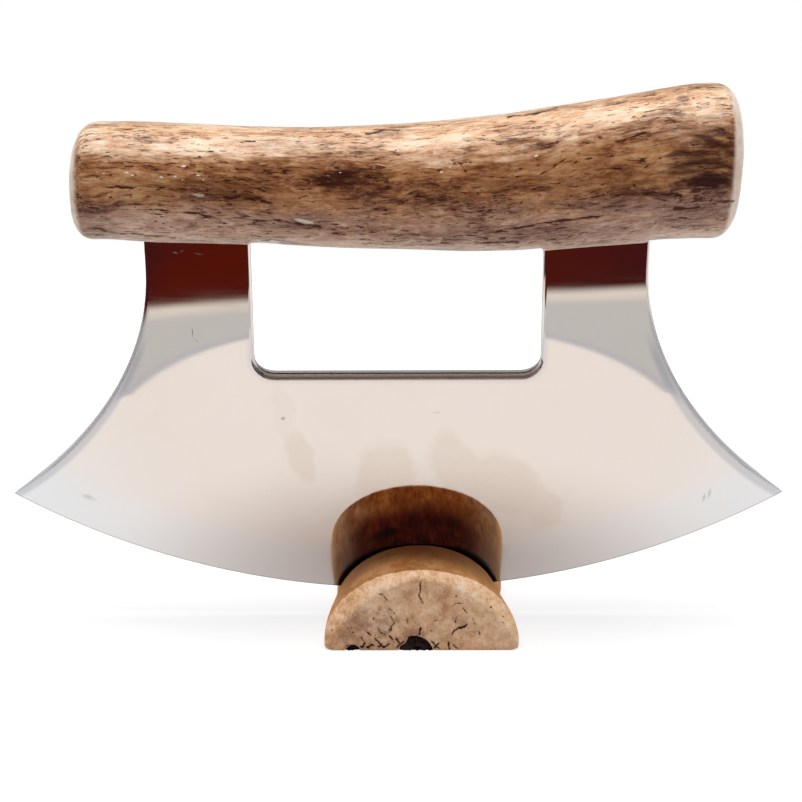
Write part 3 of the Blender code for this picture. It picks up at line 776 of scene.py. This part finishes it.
def handle_material():
    n = Nodes("polished_bone")
    place = n.warped(n.painted("along_grain", "Vector"), *HANDLE_WARP)
    broad, streak, blotch, fibre, dash, hair, vein = n.noises(place, HANDLE_NOISES)
    # the painted light marks lighten the tone, and at the tops of the ends they are painted highlights
    tone = n.total((broad, 0.31), (streak, 0.26), (fibre, 0.15), (blotch, 0.28),
                   (n.painted("light"), 0.045))
    crowd = n.ramp(broad, *CROWDING)
    veins = n.ramp(n.math("ADD", vein, crowd), *VEINS)
    dashes = n.ramp(n.math("ADD", dash, crowd), *DASHES)
    hairs = n.ramp(n.math("ADD", hair, crowd), *HAIRS)
    flecks = n.fall(n.math("SUBTRACT", hair, crowd), *FLECKS)
    pits = n.dots(place, *HANDLE_PITS)
    glint = n.times(n.ramp(n.painted("glint"), 0.15, 0.45), n.ramp(blotch, 0.44, 0.5))
    wear = n.ramp(dash, 0.36, 0.64)
    crack = n.total((n.painted("crack"), 1.0), (wear, 0.4), (hair, 0.25))
    pale = n.total((n.painted("pale"), 1.0), (blotch, 1.2), (fibre, 0.8), (-1.0, 1.0))

    rise = n.total((n.painted("rise"), 1.0), (streak, 0.3), (broad, 0.35), (-0.325, 1.0))
    pale_lit_upper, middle, lower, pale_lit_bottom, end = n.tones(
        tone, HANDLE_UPPER_PALE_AND_LIT, HANDLE_MIDDLE, HANDLE_LOWER, HANDLE_BOTTOM_PALE_AND_LIT, HANDLE_END)
    # the top's and the underside's colours, chosen by which way the surface faces, are partly painted
    # light
    colour = n.layers(
        middle,
        (n.ramp(rise, *UPPER_RISE), pale_lit_upper),
        (n.fall(rise, *LOWER_RISE), lower),
        (n.fall(rise, *BOTTOM_RISE), pale_lit_bottom),
        (n.times(n.painted("grey"), n.ramp(fibre, 0.35, 0.6, 0.85, 0.35)), HANDLE_GREY),
        (n.times(n.painted("amber"), n.ramp(streak, 0.35, 0.62, 0.95, 0.45)), HANDLE_AMBER),
        (n.times(flecks, 0.22), HANDLE_FLECK),
        (n.times(veins, 0.6), HANDLE_VEIN),
        (n.times(n.painted("dark"), n.ramp(streak, 0.44, 0.66, 1.0, 0.5)), HANDLE_DARK),
        (n.times(dashes, 0.85), HANDLE_DARK),
        (n.times(hairs, 0.75), HANDLE_DARK),
        (n.ramp(crack, *CRACK_STAIN), HANDLE_AMBER),
        (n.painted("end"), end),
        (n.times(n.painted("core"), n.ramp(fibre, 0.35, 0.6, 0.9, 0.5)), HANDLE_CORE),
        (n.times(pits, 0.9), HANDLE_DARK),
        (n.ramp(pale, 0.38, 0.72, 0.0, 0.85), HANDLE_PALE),
        (n.ramp(crack, *CRACK_LINE), HANDLE_DARK),
        (n.times(n.dots(place, *HANDLE_GLINTS), glint), GLINT),
    )
    height = n.total((fibre, 0.8), (streak, 0.5), (dashes, -0.5), (pits, -1.0))
    return n.finish(Base_Color=colour, Roughness=n.ramp(streak, *MOST, 0.36, 0.5),
                    Normal=n.bump(height, 0.00014, 0.55), Specular_IOR_Level=0.18,
                    Coat_Weight=0.08, Coat_Roughness=0.22, Sheen_Weight=0.6, Sheen_Roughness=0.3,
                    Sheen_Tint=(1.0, 0.86, 0.73))


# Stand

STAND_FRONT = -0.0275
STAND_REACH = 0.02
WAIST_SHIFT = 0.0004  # the waist lies a little to the left of the ends' middle
WAIST_WIDER = 0.0007  # and cuts in less on that side
SLOT_MIDDLE = 0.0001
SLOT_CLEAR = 0.0023  # half of the strip round the slot that stays untouched
FOOT_CLEAR = (0.0002, 0.0008)
# Cracks of the front face: half width, then corners, in millimetres.
STAND_CRACKS = (
    (0.13, (-0.3, 15.4), (-0.4, 13.6), (-0.5, 12.1), (0, 10.9)),
    (0.12, (-8.8, 12.8), (-8.1, 12), (-7.3, 11)), (0.11, (6.6, 10.3), (7.6, 10.8), (8.8, 10.5)),
    (0.13, (9, 9.5), (9.8, 8.4)), (0.12, (7.6, 7.5), (7.2, 6.4)), (0.12, (10.9, 7.5), (11.3, 6.2)),
    (0.17, (6.4, 3.6), (7.8, 4.9), (9.8, 5.7)),
    (0.14, (-6.9, 7.8), (-6.1, 6.4), (-6.7, 4.7), (-7.4, 4.1)),
    (0.2, (-0.3, 5), (-0.7, 3.6), (-0.6, 2.4)), (0.2, (5.7, 2), (5.9, 1.2), (6.2, 0.2)),
    (0.14, (6.8, 1.3), (8, 0.3)), (0.24, (-16.4, 1), (-14.8, 1.2), (-13, 0.8), (-12.6, 1.9)),
    (0.2, (-10.4, 2.9), (-9.5, 1.9), (-8.5, 0.8), (-7.3, 1.6)), (0.15, (-9.6, 5), (-9, 4), (-8.2, 3.7)),
    (0.14, (-12.2, 4.4), (-11.2, 3.5)), (0.13, (-3.4, 7.2), (-3.2, 6.2)),
    (0.2, (-5.6, 2.6), (-4.9, 1.7), (-4.4, 0.6)), (0.2, (2.2, 2), (3.2, 1), (4, 0.2)),
    (0.26, (-5.4, 0.7), (-4.6, 1.5), (-3.9, 1.9)), (0.22, (-9.6, 0.9), (-8.7, 1.4)),
    (0.24, (-11.9, 0.7), (-11.2, 1.4), (-10.6, 1.2)), (0.18, (-7, 3.2), (-6.4, 2.5)),
    (0.24, (2.6, 0.6), (3.6, 1.6)), (0.15, (-13.4, 2.9), (-12.9, 2.4)),
    (0.13, (12.4, 4.2), (12.8, 3.5)),
)
# Shades of the front face and of the top: across, up or along, half width, half height,
# turn in degrees, strength.
DUSKY_MARKS = (
    (-11.5, 5, 9, 5.5, 10, 0.75), (-1, 2.6, 7, 3.4, 0, 0.6), (-10, 1.4, 8, 2.2, 0, 0.65),
    (9, 5, 5, 3.5, 20, 0.25),
)
SKIN_MARKS = (
    (-7.6, -7.9, 3.8, 2.3, 0, 1), (9.5, -6, 2.2, 1, 20, 0.6), (-15, -12, 1.2, 2.4, 0, 0.5),
)
# The sawn face ends at this rounded outline, and the polished rim begins.
FACE_REACH = (0.0205, 0.016)
FACE_POWER = 1.6
FACE_EDGE = (0.96, 1.06)
FACE_FACING = (0.55, 0.85)
FACE_START = 0.022
RIM_START = (0.0249, 0.0263)
CHAMFER = 0.001  # how far the rim falls back from the sawn face
CHAMFER_OVER = (0.98, 1.4)  # between these shares of the face's outline
CHAMFER_ALONG = (0.0255, 0.0272)
BACK_PINCH = 0.045  # behind the knife the foot is narrower than in front
PINCH_ALONG = (-0.002, 0.006)
# Painted shadow along the slot's front:
SLOT_SHADOW = (0.0021, 0.0014)  # dark strip along the slot's front, and how much it widens
SLOT_SHADOW_WIDENS = (0.004, 0.011)
SLOT_SHADOW_EDGE = 0.0003
# Painted shade near the slot, under the handle beside the blade:
SLOT_SHADE_ALONG = (0.008, 0.0235)  # the top is darkest near the slot
FLANK_ACROSS = (0.0095, 0.0165)
TOP_START = 0.01
# The walls of the marrow pits, painted dark as shade: how much they may face up, how high, far in
# and across they are
PIT_FACING, PIT_TOP, PIT_START, PIT_REACH = 0.2, 0.0034, 0.0195, 0.0185
PIT_EDGE = (0.0003, 0.0012)
PIT_MOUTH = 0.0273
STAND_SWELL, STAND_FINE, STAND_CRACK = 0.0001, 0.00003, 0.00012  # rises, and a crack's depth
STAND_GRAINS = (
    ((0.009, 0.016, 0.009), 11, 2),  # swells
    ((0.0012, 0.006, 0.0012), 12, 2),  # fine grain
    ((0.0016, 0.0016, 0.0016), 13, 2, 0.0003),  # wobble of cracks
    ((0.002, 0.0035, 0.002), 14, 2, 0.5),  # ragged edges of marks
)


def make_stand_piece():
    mesh, points, normals = even_mesh("stand", "stand_bone", *STAND_EVEN)
    across, along, up = points.T
    side, depth = np.abs(across), np.abs(along)
    swell, fine, wobble, ragged = (grain(points, *row) for row in STAND_GRAINS)
    from_slot = np.abs(along - SLOT_MIDDLE)
    clear = step_up(from_slot, SLOT_CLEAR, SLOT_CLEAR + 0.001) * step_up(up, *FOOT_CLEAR)
    outline = sum(np.abs(value / reach) ** FACE_POWER for value, reach in zip((across, up), FACE_REACH))
    inside_face = 1 - step_up(outline + 0.05 * fine, *FACE_EDGE)
    end = step_up(np.abs(normals[:, 1]), *FACE_FACING) * inside_face * (depth > FACE_START)
    mirrored = np.where(along < 0, across, -across)
    cracks = crack_field(mirrored + wobble, up - wobble, STAND_CRACKS) * end
    strip = SLOT_SHADOW[0] + SLOT_SHADOW[1] * step_up(side, *SLOT_SHADOW_WIDENS)
    slot_shadow = 1 - step_up(from_slot + 0.0002 * fine, strip - SLOT_SHADOW_EDGE, strip + SLOT_SHADOW_EDGE)
    slot_shadow = (along < 0) * slot_shadow
    # painted shade: the pit walls go dark through the crack field
    pit_wall_shade = (normals[:, 2] < PIT_FACING) * (up < PIT_TOP) * (along < -PIT_START) * (up > 0.00005)
    pit_wall_shade = pit_wall_shade * step_up(PIT_MOUTH - depth, *PIT_EDGE) * (side < PIT_REACH)
    # painted shade: the top darkens towards the slot
    near_slot = 1 - step_up(from_slot + 0.003 * swell, *SLOT_SHADE_ALONG)
    flank = step_up(side + SWELL_SHIFT * swell, *FLANK_ACROSS)
    marks = mark_field(across, -depth, SKIN_MARKS, 0.5 * ragged) * (up > TOP_START)
    # The blotch field holds the dark oval marks and the painted shadow along the slot.
    paint(mesh, end=end, rim=step_up(depth + 0.0002 * swell, *RIM_START),
          crack=np.maximum(cracks, 1.3 * pit_wall_shade), burnt=near_slot * (1 - 0.55 * flank),
          flank=flank * (1 - end), blotch=np.maximum(marks, slot_shadow) * (1 - end),
          dusky=mark_field(mirrored, up, DUSKY_MARKS, ragged) * end)

    relief = (STAND_SWELL * swell + STAND_FINE * fine) * clear
    relief -= STAND_CRACK * step_up(cracks, *CRACK_CUT)
    points = points + normals * relief[:, None]
    chamfer = CHAMFER * step_up(outline, *CHAMFER_OVER) * step_up(depth, *CHAMFER_ALONG)
    points[:, 1] -= np.sign(along) * chamfer
    waist = 1 - (along / STAND_FRONT) ** 2
    points[:, 0] -= waist * (WAIST_SHIFT + WAIST_WIDER * (across < 0) * side / STAND_REACH)
    points[:, 0] *= 1 - BACK_PINCH * step_up(along, *PINCH_ALONG)
    points[:, 2] = np.maximum(points[:, 2], 0)
    move_points(mesh, points)
    return mesh_piece("stand_bone", mesh, "stand", "stand_bone", "stand")


# Marrow pits of the CAD model in millimetres: across, width, height, depth
MARROW_PITS = ((-1.0, 7.8, 3.0, 7.0), (-15.0, 3.6, 1.3, 4.0))
# The dark filling stands in for the shade deep inside each pit, and is shaped as crumbly marrow.
MARROW_INSET = 0.8  # of the dark spongy filling behind the face
MARROW_FILLS = (0.53, 0.45, 0.98)  # of a pit's width, depth and height, from the ball's middle
MARROW_CELL = 0.0009
MARROW_ROUGH = 0.0011
MARROW_SQUARE = 0.85  # of a ball turned box, to fill the pit's corners
MARROW_LOWEST = 0.00002
MARROW_PIT_SHADE = (0.01, 0.004, 0.003)
MARROW_BROWN = (0.06, 0.02, 0.012)


def make_pit_shade_marrow(index, pit):
    """Dark crumbly marrow up to just behind the sawn face, which stands in for the shade deep in an open
    pit.
    """
    middle, width, height, depth = millimetres(*pit)
    inset = millimetres(MARROW_INSET)[0]
    fill_x, fill_y, fill_z = MARROW_FILLS
    shape = bmesh.new()
    bmesh.ops.create_icosphere(shape, subdivisions=5, radius=1.0)
    for vertex in shape.verts:
        box = 1 + MARROW_SQUARE * (1 / max(abs(value) for value in vertex.co) - 1)
        x, y, z = vertex.co * box
        place = Vector((
            middle + x * width * fill_x,
            STAND_FRONT + inset + depth * fill_y * (1 + y),
            z * height * fill_z,
        ))
        rough = noise.fractal(place / MARROW_CELL, 1.0, 2.0, 3) * MARROW_ROUGH * (0.35 + 0.65 * abs(y))
        place.y += rough
        place.z = max(place.z + 0.4 * rough, MARROW_LOWEST)
        vertex.co = place
    name = "marrow_%d" % index
    mesh = bpy.data.meshes.new(name)
    shape.to_mesh(mesh)
    shape.free()
    return mesh_piece(name, smooth_faces(mesh), "stand", "stand_bone")


def pit_shade_marrow_material():
    n = Nodes("marrow_and_pit_shade")
    crumbs = n.noise(n.place(), (0.0007, 0.0007, 0.0007), 4, 0.65)
    colour = n.mix(n.ramp(crumbs, 0.45, 0.7), MARROW_PIT_SHADE, MARROW_BROWN)
    return n.finish(Base_Color=colour, Roughness=0.9, Normal=n.bump(crumbs, 0.0004, 0.8))


STAND_FACE = ((0.49, 0.26, 0.145), (0.65, 0.385, 0.22), (0.75, 0.465, 0.28), (0.85, 0.61, 0.42))
# the rim is partly paler polished bone and partly a painted highlight along the front edge
STAND_RIM_PALE_AND_LIT = ((0.64, 0.32, 0.17), (0.84, 0.5, 0.28), (0.96, 0.65, 0.42), (1.0, 0.82, 0.64))
STAND_SKIN = ((0.13, 0.02, 0.002), (0.23, 0.046, 0.005), (0.31, 0.08, 0.012), (0.44, 0.16, 0.042))
STAND_FLANK = ((0.19, 0.055, 0.018), (0.29, 0.105, 0.04), (0.38, 0.165, 0.072), (0.52, 0.28, 0.15))
STAND_SLOT_SHADE = ((0.02, 0.001, 0.0), (0.05, 0.002, 0.001), (0.09, 0.004, 0.001), (0.16, 0.02, 0.003))
STAND_DUSKY = (0.28, 0.15, 0.112)
STAND_PORE = (0.016, 0.002, 0.001)
# Painted sheen: the polished top's colour turns paler at a flat angle, less so towards the slot.
STAND_GLOW_DEEP = (0.52, 0.215, 0.055)
STAND_GLOW = (0.84, 0.44, 0.19)
GLOW_FACING = (0.62, 0.84)
GLOW_FADE_ALONG = (0.004, 0.026)
GLOW_POWER = 1.1
GLOW_SHARE = 0.93
GLOW_FLANK = 0.66  # of that on the flanks
STAND_NOISES = (
    ((0.006, 0.016, 0.006), 3, 0.6),  # broad shades
    ((0.0018, 0.005, 0.0018), 5, 0.68),  # mottle
    ((0.00045, 0.0045, 0.00045), 4, 0.65),  # fibres
    ((0.0006, 0.003, 0.0006), 3, 0.6),  # hairs
)
STAND_DOTS = ((0.0015, 0.0045, 0.0015), 0.42, 0.07, 0.17)
CROWDED_DOTS = ((0.001, 0.0045, 0.001), 0.5, 0.08, 0.26)
CROWDED_START = 0.26
FACE_CRACK_STAIN = (0.75, 1.1, 0.0, 0.4)
FACE_CRACK_LINE = (1.08, 1.18, 0.0, 0.95)


def stand_material():
    n = Nodes("sawn_bone")
    place = n.place()
    broad, mottle, fibre, hair = n.noises(place, STAND_NOISES)
    tone = n.total((broad, 0.35), (mottle, 0.4), (fibre, 0.25))
    end, rim, dusky, flanks = (n.painted(name) for name in ("end", "rim", "dusky", "flank"))
    crowded = n.times(n.dots(place, *CROWDED_DOTS), dusky)
    pores = n.strongest(n.dots(place, *STAND_DOTS), n.math("GREATER_THAN", crowded, CROWDED_START))
    crack = n.total((n.painted("crack"), 1.0), (hair, 0.7))

    face, edge, skin, flank, burnt = n.tones(
        tone, STAND_FACE, STAND_RIM_PALE_AND_LIT, STAND_SKIN, STAND_FLANK, STAND_SLOT_SHADE)
    face = n.mix(n.times(dusky, n.ramp(mottle, 0.35, 0.6, 0.8, 0.25)), face, STAND_DUSKY)
    shading_near_slot = n.total((n.painted("burnt"), 1.0), (mottle, 0.5), (broad, 0.4), (-0.45, 1.0))
    # painted sheen: a paler colour at a flat angle, fading out towards the slot
    sheen_fade = n.math("POWER", n.ramp(n.math("ABSOLUTE", n.parted(place)["Y"]), *GLOW_FADE_ALONG), GLOW_POWER)
    sheen_fade = n.times(sheen_fade, n.ramp(flanks, 0.0, 1.0, 1.0, GLOW_FLANK))
    facing = n.add("LayerWeight", {"Blend": 0.5}).outputs["Facing"]
    glow = n.times(sheen_fade, n.ramp(facing, *GLOW_FACING, 0.0, GLOW_SHARE))
    shine = n.mix(n.ramp(n.total((broad, 0.5), (mottle, 0.5)), 0.42, 0.58), STAND_GLOW_DEEP, STAND_GLOW)
    colour = n.layers(
        skin,
        (n.times(flanks, n.ramp(broad, 0.35, 0.6, 0.6, 1.0)), flank),
        # painted shade near the slot
        (n.ramp(shading_near_slot, 0.12, 0.8), burnt),
        (glow, shine),
        (n.ramp(n.total((rim, 1.0), (mottle, 0.8), (-0.4, 1.0)), 0.25, 0.75), edge),
        (end, face),
        # dark oval marks, and the painted shadow along the slot
        (n.painted("blotch"), STAND_PORE),
        (n.times(pores, 0.85), STAND_PORE),
        (n.ramp(crack, *FACE_CRACK_STAIN), STAND_DUSKY),
        # the crack line also paints the pit walls dark, as shade
        (n.ramp(crack, *FACE_CRACK_LINE), STAND_PORE),
    )
    height = n.total((fibre, 0.6), (mottle, 0.6), (pores, -1.0))
    roughness = n.total((n.ramp(mottle, *MOST, 0.38, 0.5), 1.0), (end, 0.14))
    return n.finish(Base_Color=colour, Roughness=roughness, Normal=n.bump(height, 0.00014, 0.5),
                    Specular_IOR_Level=0.06, Sheen_Weight=1.0, Sheen_Roughness=0.3,
                    Sheen_Tint=(1.0, 0.46, 0.13))


# Adhesive

EPOXY_CLEAR = (0.62, 0.5, 0.36)
EPOXY_DUSTY = (0.74, 0.66, 0.55)
# Beads of squeezed-out adhesive round the tangs, under the handle: the tang's sides across
# from the edge's lowest point, and how far the bead runs past them.
GLUE_BEADS = (("left_glue_bead", -0.0558, -0.0328, 0.0004), ("right_glue_bead", 0.0334, 0.0559, 0.0004))
BEAD_RADIUS = 0.00042
BEAD_UNEVEN = 0.35
BEAD_CELL = 0.0012
BEAD_STEPS = 220
BEAD_SIDES = 12
BELOW_HANDLE = 0.07


def make_glue_bead(name, left, right, spill):
    """A thin uneven roll of set adhesive in the corner between a tang and the handle."""
    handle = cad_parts["handle"]
    surface = BVHTree.FromPolygons(
        [handle.matrix_world @ vertex.co for vertex in handle.data.vertices],
        [face.vertices for face in handle.data.polygons],
    )
    half = BLADE_THICKNESS / 2
    low_x, high_x = left - spill, right + spill
    corners = [(low_x, half), (high_x, half), (high_x, -half), (low_x, -half)]
    points = []
    for step in range(BEAD_STEPS):
        side, share = divmod(step * 4 / BEAD_STEPS, 1)
        (x0, f0), (x1, f1) = corners[int(side)], corners[(int(side) + 1) % 4]
        x, f = x0 + (x1 - x0) * share, f0 + (f1 - f0) * share
        low = BLADE_SEAT + Vector((x, 0, 0)) + f * BLADE_FRONT + BELOW_HANDLE * BLADE_UP
        hit = surface.ray_cast(low, BLADE_UP)[0] - LIP_DROP * BLADE_UP
        radius = BEAD_RADIUS * (1 + BEAD_UNEVEN * noise.fractal(hit / BEAD_CELL, 1.0, 2.0, 2))
        out = BLADE_FRONT * (1 - side)
        if side % 2:
            out = Vector((x - (left + right) / 2, 0, 0)).normalized()
        for k in range(BEAD_SIDES):
            angle = 2 * pi * k / BEAD_SIDES
            points.append(hit + radius * (cos(angle) * out + sin(angle) * BLADE_UP))
    faces = []
    for i in range(BEAD_STEPS):
        after = (i + 1) % BEAD_STEPS
        for k in range(BEAD_SIDES):
            beside = (k + 1) % BEAD_SIDES
            faces.append([row * BEAD_SIDES + col for row, col in
                          ((i, k), (after, k), (after, beside), (i, beside))])
    mesh = bpy.data.meshes.new(name)
    mesh.from_pydata([tuple(point) for point in points], [], faces)
    return mesh_piece(name, smooth_faces(mesh), "knife", "epoxy")


def epoxy_material():
    n = Nodes("set_adhesive")
    cloud = n.noise(n.place(), (0.003, 0.003, 0.003), 4, 0.6)
    colour = n.mix(n.ramp(cloud, 0.35, 0.65), EPOXY_CLEAR, EPOXY_DUSTY)
    return n.finish(Base_Color=colour, Roughness=n.ramp(cloud, *MOST, 0.25, 0.5),
                    Normal=n.bump(cloud, 0.0002, 0.5))


# Stage

FLOOR_SIZE = 3.0
FLOOR_GLOW = (0.12, 0.6, 0.7, 1.0)  # of its own picture: from near the object to far from it
FLOOR_SHADE = (0.42,) * 3  # how much of the picture the light and the shadows make
FLOOR_BOUNCE = (0.78,) * 3
# What mirrors see of the floor: cream paper on a dark table
PAPER_CREAM = (0.995, 0.886, 0.816)
PAPER_SIDE = (1.0, 0.965, 0.93)  # it turns paler towards the sides
PAPER_PALE = (0.8, 0.785, 0.775)
PAPER_GREY = (0.625, 0.585, 0.555)
PAPER_LINE = (0.58, 0.55, 0.56)
PAPER_EDGE = (0.84, 0.73, 0.63)
SIDE_FADE = (0.056, 0.118)
SIDE_NEAREST = -0.085
SIDE_SLANT = 0.5
SIDE_SHIFT = 0.03
BEYOND = (0.096, 0.008, 0.003)
BEYOND_DIM = (0.04, 0.009, 0.011)
BEYOND_CLOUD = ((0.045, 0.03, 0.02), 2, 0.5)
DIM_RIGHT, DIM_LEFT = (0.02, 0.085), (-0.088, -0.074)
CREAM_MIDDLE = (-0.0031, -0.06)
CREAM_REACH = (0.084, 0.08)
CREAM_POWER = 2.5
CREAM_OPEN = (-0.1, -0.084)  # nearer than this the cream has no border
LINE_START, OUTER_FADE = (0.95, 1.02), (1.04, 1.14)
GREY_FADE = (-0.105, -0.07)
# The shade round the stand
SHADE_MIDDLE = (-0.0009, -0.0222)
SHADE_STRETCH = (1.0, 1.63)
SHADE_REACH = (-0.02, 0.0805)
SHADE_DEEP = (0.35, 0.244, 0.199)
# The paper's front edge and the grey's: where they cross x = 0, and how they slant and bend
PAPER_END = (-0.1611, -0.0422, 0.233, -5.63)
GREY_EDGE = (-0.1543, -0.0337, 0.37, -6.36)
EDGE_BLUR = 0.0036
BAND_BLUR = 0.003


def floor_picture(n):
    """What a mirror sees of the floor: cream paper, a greyer rim, then a dark table."""
    place = n.place()
    x, y, _ = n.parted(place)
    parts = []
    for value, middle, reach in zip((x, y), CREAM_MIDDLE, CREAM_REACH):
        share = n.math("DIVIDE", n.math("ABSOLUTE", n.math("SUBTRACT", value, middle)), reach)
        parts.append(n.math("POWER", share, CREAM_POWER))
    rim = n.times(n.math("ADD", *parts), n.fall(y, *CREAM_OPEN))
    outer = n.mix(n.fall(y, *GREY_FADE), PAPER_PALE, PAPER_GREY)
    wide = n.total((n.math("ABSOLUTE", x), 1.0), (n.math("MAXIMUM", y, SIDE_NEAREST), SIDE_SLANT),
                   (SIDE_SHIFT, 1.0))
    from_stand = n.vector("SUBTRACT", place, (*SHADE_MIDDLE, 0.0))
    from_stand = n.vector("LENGTH", n.vector("MULTIPLY", from_stand, (*SHADE_STRETCH, 0.0)))
    dim = n.total((n.noise(place, *BEYOND_CLOUD), 0.8), (n.ramp(x, *DIM_RIGHT), 0.6),
                  (n.fall(x, *DIM_LEFT), 0.5), (-0.3, 1.0))

    def past(curve, blur):
        bends = ((n.math("POWER", x, power), -bend) for power, bend in enumerate(curve))
        return n.fall(n.total((y, 1.0), *bends), -blur, blur)

    return n.layers(
        PAPER_CREAM,
        (n.ramp(wide, *SIDE_FADE), PAPER_SIDE),
        (n.fall(from_stand, *SHADE_REACH), SHADE_DEEP),
        (n.ramp(rim, *LINE_START), PAPER_LINE),
        (n.ramp(rim, *OUTER_FADE), outer),
        (past(GREY_EDGE, BAND_BLUR), PAPER_EDGE),
        (past(PAPER_END, EDGE_BLUR), n.mix(dim, BEYOND, BEYOND_DIM)),
    )


def floor_material():
    n = Nodes("pale_floor")
    path = n.add("LightPath").outputs
    mirrored = path["Is Glossy Ray"]
    seen = n.strongest(path["Is Camera Ray"], mirrored, path["Is Transmission Ray"])
    glow = n.ramp(n.vector("LENGTH", n.place()), *FLOOR_GLOW)
    picture = n.mix(mirrored, WHITE, floor_picture(n))
    shade = n.mix(seen, FLOOR_BOUNCE, n.mix(1.0, picture, FLOOR_SHADE, "MULTIPLY"))
    diffuse = n.add("BsdfDiffuse", {"Color": shade})
    light = n.add("Emission", {"Color": picture, "Strength": n.times(seen, glow)})
    both = n.add("AddShader", {0: diffuse.outputs[0], 1: light.outputs[0]})
    return n.surface(both)


def make_floor():
    mesh = bpy.data.meshes.new("floor")
    half = FLOOR_SIZE / 2
    corners = [(-half, -half, 0), (half, -half, 0), (half, half, 0), (-half, half, 0)]
    mesh.from_pydata(corners, [], [(0, 1, 2, 3)])
    mesh.materials.append(floor_material())
    floor = new_object("floor", mesh)


def make_world():
    """White for the camera; for mirrors it darkens upwards and to the front, as a room does."""
    n = Nodes("studio", bpy.data.worlds)
    path = n.add("LightPath").outputs
    way = n.parted(n.add("TexCoord").outputs["Generated"])
    room = n.times(n.ramp(way["Z"], *SKY_HIGH), n.ramp(way["Y"], *SKY_FRONT))
    seen = n.strongest(path["Is Camera Ray"], path["Is Transmission Ray"])
    strength = n.ramp(seen, 0.0, 1.0, FILL_STRENGTH, 1.0)
    strength = n.total((n.math("SUBTRACT", room, strength), path["Is Glossy Ray"]), (strength, 1.0))
    sky = n.add("Background", {"Color": WHITE, "Strength": strength})
    bpy.context.scene.world = n.surface(sky, "World")


def make_key_light():
    light = bpy.data.lights.new("key", "AREA")
    light.shape = "RECTANGLE"
    light.size, light.size_y = KEY_SIZE
    light.energy = KEY_POWER
    lamp = new_object("key", light)
    lamp.location = KEY_PLACE
    lamp.rotation_euler = (Vector(KEY_AIM) - Vector(KEY_PLACE)).to_track_quat("-Z", "Y").to_euler()


def make_camera():
    lens = bpy.data.cameras.new("camera")
    lens.sensor_width = SENSOR_MM
    lens.lens = FOCAL_PIXELS / PHOTO_PIXELS * SENSOR_MM
    lens.clip_start = CLIP_START
    camera = new_object("camera", lens)
    camera.matrix_world = (
        Matrix.Translation(CAMERA_PLACE)
        @ Matrix.Rotation(CAMERA_YAW, 4, "Z")
        @ Matrix.Rotation(pi / 2 - CAMERA_PITCH, 4, "X")
        @ Matrix.Rotation(CAMERA_ROLL, 4, "Z")
    )
    bpy.context.scene.camera = camera


def main():
    make_camera()
    make_world()
    make_key_light()
    make_floor()
    make_blade_piece()
    make_handle_piece().data.materials.append(handle_material())
    make_stand_piece().data.materials.append(stand_material())
    # dark fillings that stand in for the shade deep in the pits
    marrow = pit_shade_marrow_material()
    for index, pit in enumerate(MARROW_PITS):
        make_pit_shade_marrow(index + 1, pit).data.materials.append(marrow)
    epoxy = epoxy_material()
    for bead in GLUE_BEADS:
        make_glue_bead(*bead).data.materials.append(epoxy)
    for node in ("left_tang_epoxy", "right_tang_epoxy"):
        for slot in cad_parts[node].material_slots:
            slot.material = epoxy
    bpy.context.scene.view_settings.view_transform = "Standard"


main()
